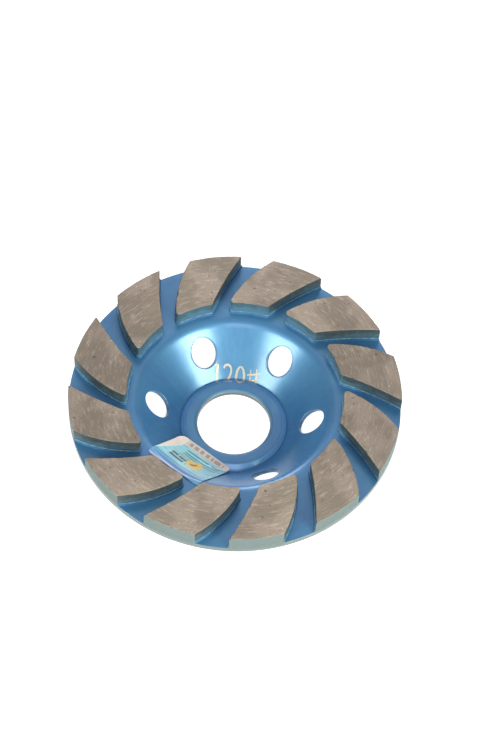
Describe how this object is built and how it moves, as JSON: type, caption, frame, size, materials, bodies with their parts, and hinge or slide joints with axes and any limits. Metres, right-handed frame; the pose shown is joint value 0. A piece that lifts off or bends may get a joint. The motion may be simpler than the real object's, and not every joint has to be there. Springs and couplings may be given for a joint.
{
  "type": "diamond cup wheel",
  "caption": "Dished steel cup grinding wheel with a ring of curved sintered diamond segments brazed on its rim and a plain centre bore, for an angle grinder.",
  "frame": {"origin": "centre of the bore on the flat back face, which seats on the spindle flange; the wheel lies on this face", "axes": "+Z along the bore axis, out of the cup towards the grinding face; +X and +Y across the wheel, with the segments repeating every 30 degrees"},
  "size_m": [0.1, 0.1, 0.0196],
  "materials": {
    "cup_paint": "translucent metallic blue over turned steel, semi-gloss",
    "diamond_bond": "ground sintered metal bond with diamond grit, dull",
    "braze": "thin braze bead under blue paint",
    "label": "thin printed sticker, semi-gloss"
  },
  "bodies": {
    "root": {"body": "cup_paint", "segment_01": "diamond_bond", "segment_02": "diamond_bond", "segment_03": "diamond_bond", "segment_04": "diamond_bond", "segment_05": "diamond_bond", "segment_06": "diamond_bond", "segment_07": "diamond_bond", "segment_08": "diamond_bond", "segment_09": "diamond_bond", "segment_10": "diamond_bond", "segment_11": "diamond_bond", "segment_12": "diamond_bond", "braze_01": "braze", "braze_02": "braze", "braze_03": "braze", "braze_04": "braze", "braze_05": "braze", "braze_06": "braze", "braze_07": "braze", "braze_08": "braze", "braze_09": "braze", "braze_10": "braze", "braze_11": "braze", "braze_12": "braze", "label": "label"}
  },
  "joints": []
}
